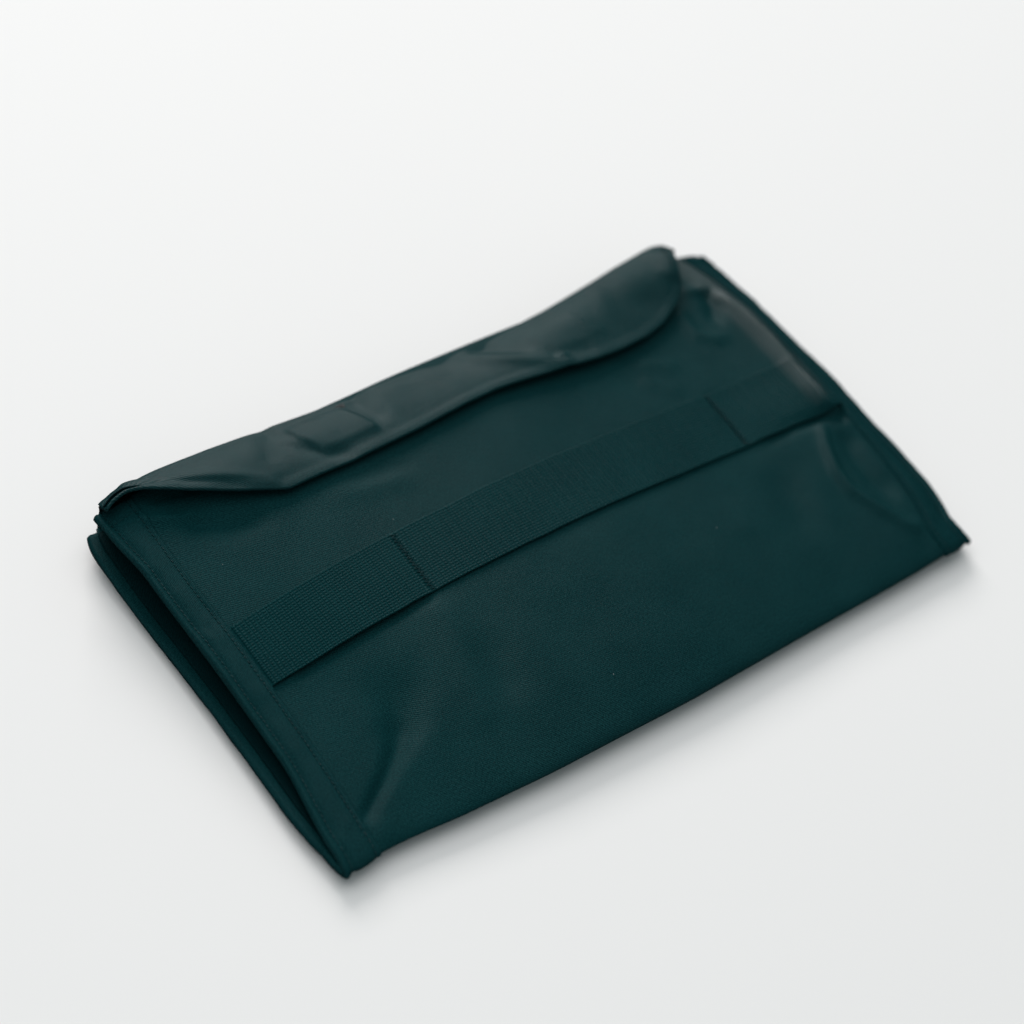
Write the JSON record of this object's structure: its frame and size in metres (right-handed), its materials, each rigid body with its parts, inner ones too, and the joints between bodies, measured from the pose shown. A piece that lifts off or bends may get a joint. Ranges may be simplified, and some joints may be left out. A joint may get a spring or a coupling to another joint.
{
  "type": "film changing bag in pouch",
  "caption": "Fabric film changing bag folded flat inside its storage pouch, with bound edges, a webbing strap across the front and a fold-over flap.",
  "frame": {"origin": "centre of the pouch's back face, in the plane it rests on", "axes": "+X along the long side towards the right-hand end seen from the front, +Y from the bottom fold to the top fold where the flap starts, +Z out of the front face"},
  "size_m": [0.3242, 0.186, 0.0305],
  "materials": {
    "black_twill": "satin-matte coated nylon twill",
    "binding_tape": "matte woven binding tape",
    "webbing": "matte ribbed webbing",
    "loop_patch": "napped loop",
    "hook_patch": "hook tape",
    "thread": "sewing thread",
    "bag_nylon": "light-tight nylon",
    "bag_lining": "rubberised cotton",
    "elastic": "gathered elastic",
    "zip_coil": "moulded teeth",
    "zip_slider": "dark lacquered zinc"
  },
  "bodies": {
    "pouch": {"bag_lining": "bag_lining", "bag_outer_cloth": "bag_nylon", "front_loop_patch_left": "loop_patch", "front_loop_patch_right": "loop_patch", "inner_zip_lower_coil": "zip_coil", "inner_zip_lower_tape": "bag_nylon", "inner_zip_stop_left": "zip_slider", "inner_zip_stop_right": "zip_slider", "inner_zip_upper_coil": "zip_coil", "inner_zip_upper_tape": "bag_nylon", "left_binding": "binding_tape", "left_binding_stitch_inner": "thread", "left_binding_stitch_outer": "thread", "left_forearm_elastic": "elastic", "left_gusset": "black_twill", "left_sleeve": "bag_nylon", "left_wrist_elastic": "elastic", "main_panel": "black_twill", "mouth_hem": "binding_tape", "outer_zip_lower_coil": "zip_coil", "outer_zip_lower_tape": "bag_nylon", "outer_zip_stop_left": "zip_slider", "outer_zip_stop_right": "zip_slider", "outer_zip_upper_coil": "zip_coil", "outer_zip_upper_tape": "bag_nylon", "right_binding": "binding_tape", "right_binding_stitch_inner": "thread", "right_binding_stitch_outer": "thread", "right_forearm_elastic": "elastic", "right_gusset": "black_twill", "right_sleeve": "bag_nylon", "right_wrist_elastic": "elastic", "strap_tack_left": "thread", "strap_tack_right": "thread", "webbing_strap": "webbing"},
    "flap_spine": {"spine_outer": "black_twill", "spine_lining": "black_twill"},
    "flap": {"flap_outer": "black_twill", "flap_lining": "black_twill", "flap_hook_patch_left": "hook_patch", "flap_hook_patch_right": "hook_patch"},
    "outer_slider": {"outer_zip_slider": "zip_slider"},
    "outer_pull": {"outer_zip_pull": "zip_slider"},
    "inner_slider": {"inner_zip_slider": "zip_slider"},
    "inner_pull": {"inner_zip_pull": "zip_slider"}
  },
  "joints": [
    {"name": "flap_fold", "type": "hinge", "parent": "flap_spine", "child": "flap", "pos_m": [0, 0.0895, 0.0272], "axis": [-1, 0, 0], "range_deg": [0, 70]},
    {"name": "spine_fold", "type": "hinge", "parent": "pouch", "child": "flap_spine", "pos_m": [0, 0.0895, 0.0016], "axis": [-1, 0, 0], "range_deg": [0, 70]},
    {"name": "outer_zip_slide", "type": "slide", "parent": "pouch", "child": "outer_slider", "axis": [1, 0, 0], "range_m": [0, 0.226]},
    {"name": "outer_pull_flip", "type": "hinge", "parent": "outer_slider", "child": "outer_pull", "pos_m": [-0.113, 0.0693, 0.0097], "axis": [0, 0, 1], "range_deg": [0, 180]},
    {"name": "inner_zip_slide", "type": "slide", "parent": "pouch", "child": "inner_slider", "axis": [-1, 0, 0], "range_m": [0, 0.226]},
    {"name": "inner_pull_flip", "type": "hinge", "parent": "inner_slider", "child": "inner_pull", "pos_m": [0.113, 0.0453, 0.0088], "axis": [0, 0, -1], "range_deg": [0, 180]}
  ],
  "couplings": [
    {"joint": "spine_fold", "follows": "flap_fold", "ratio": 1}
  ]
}
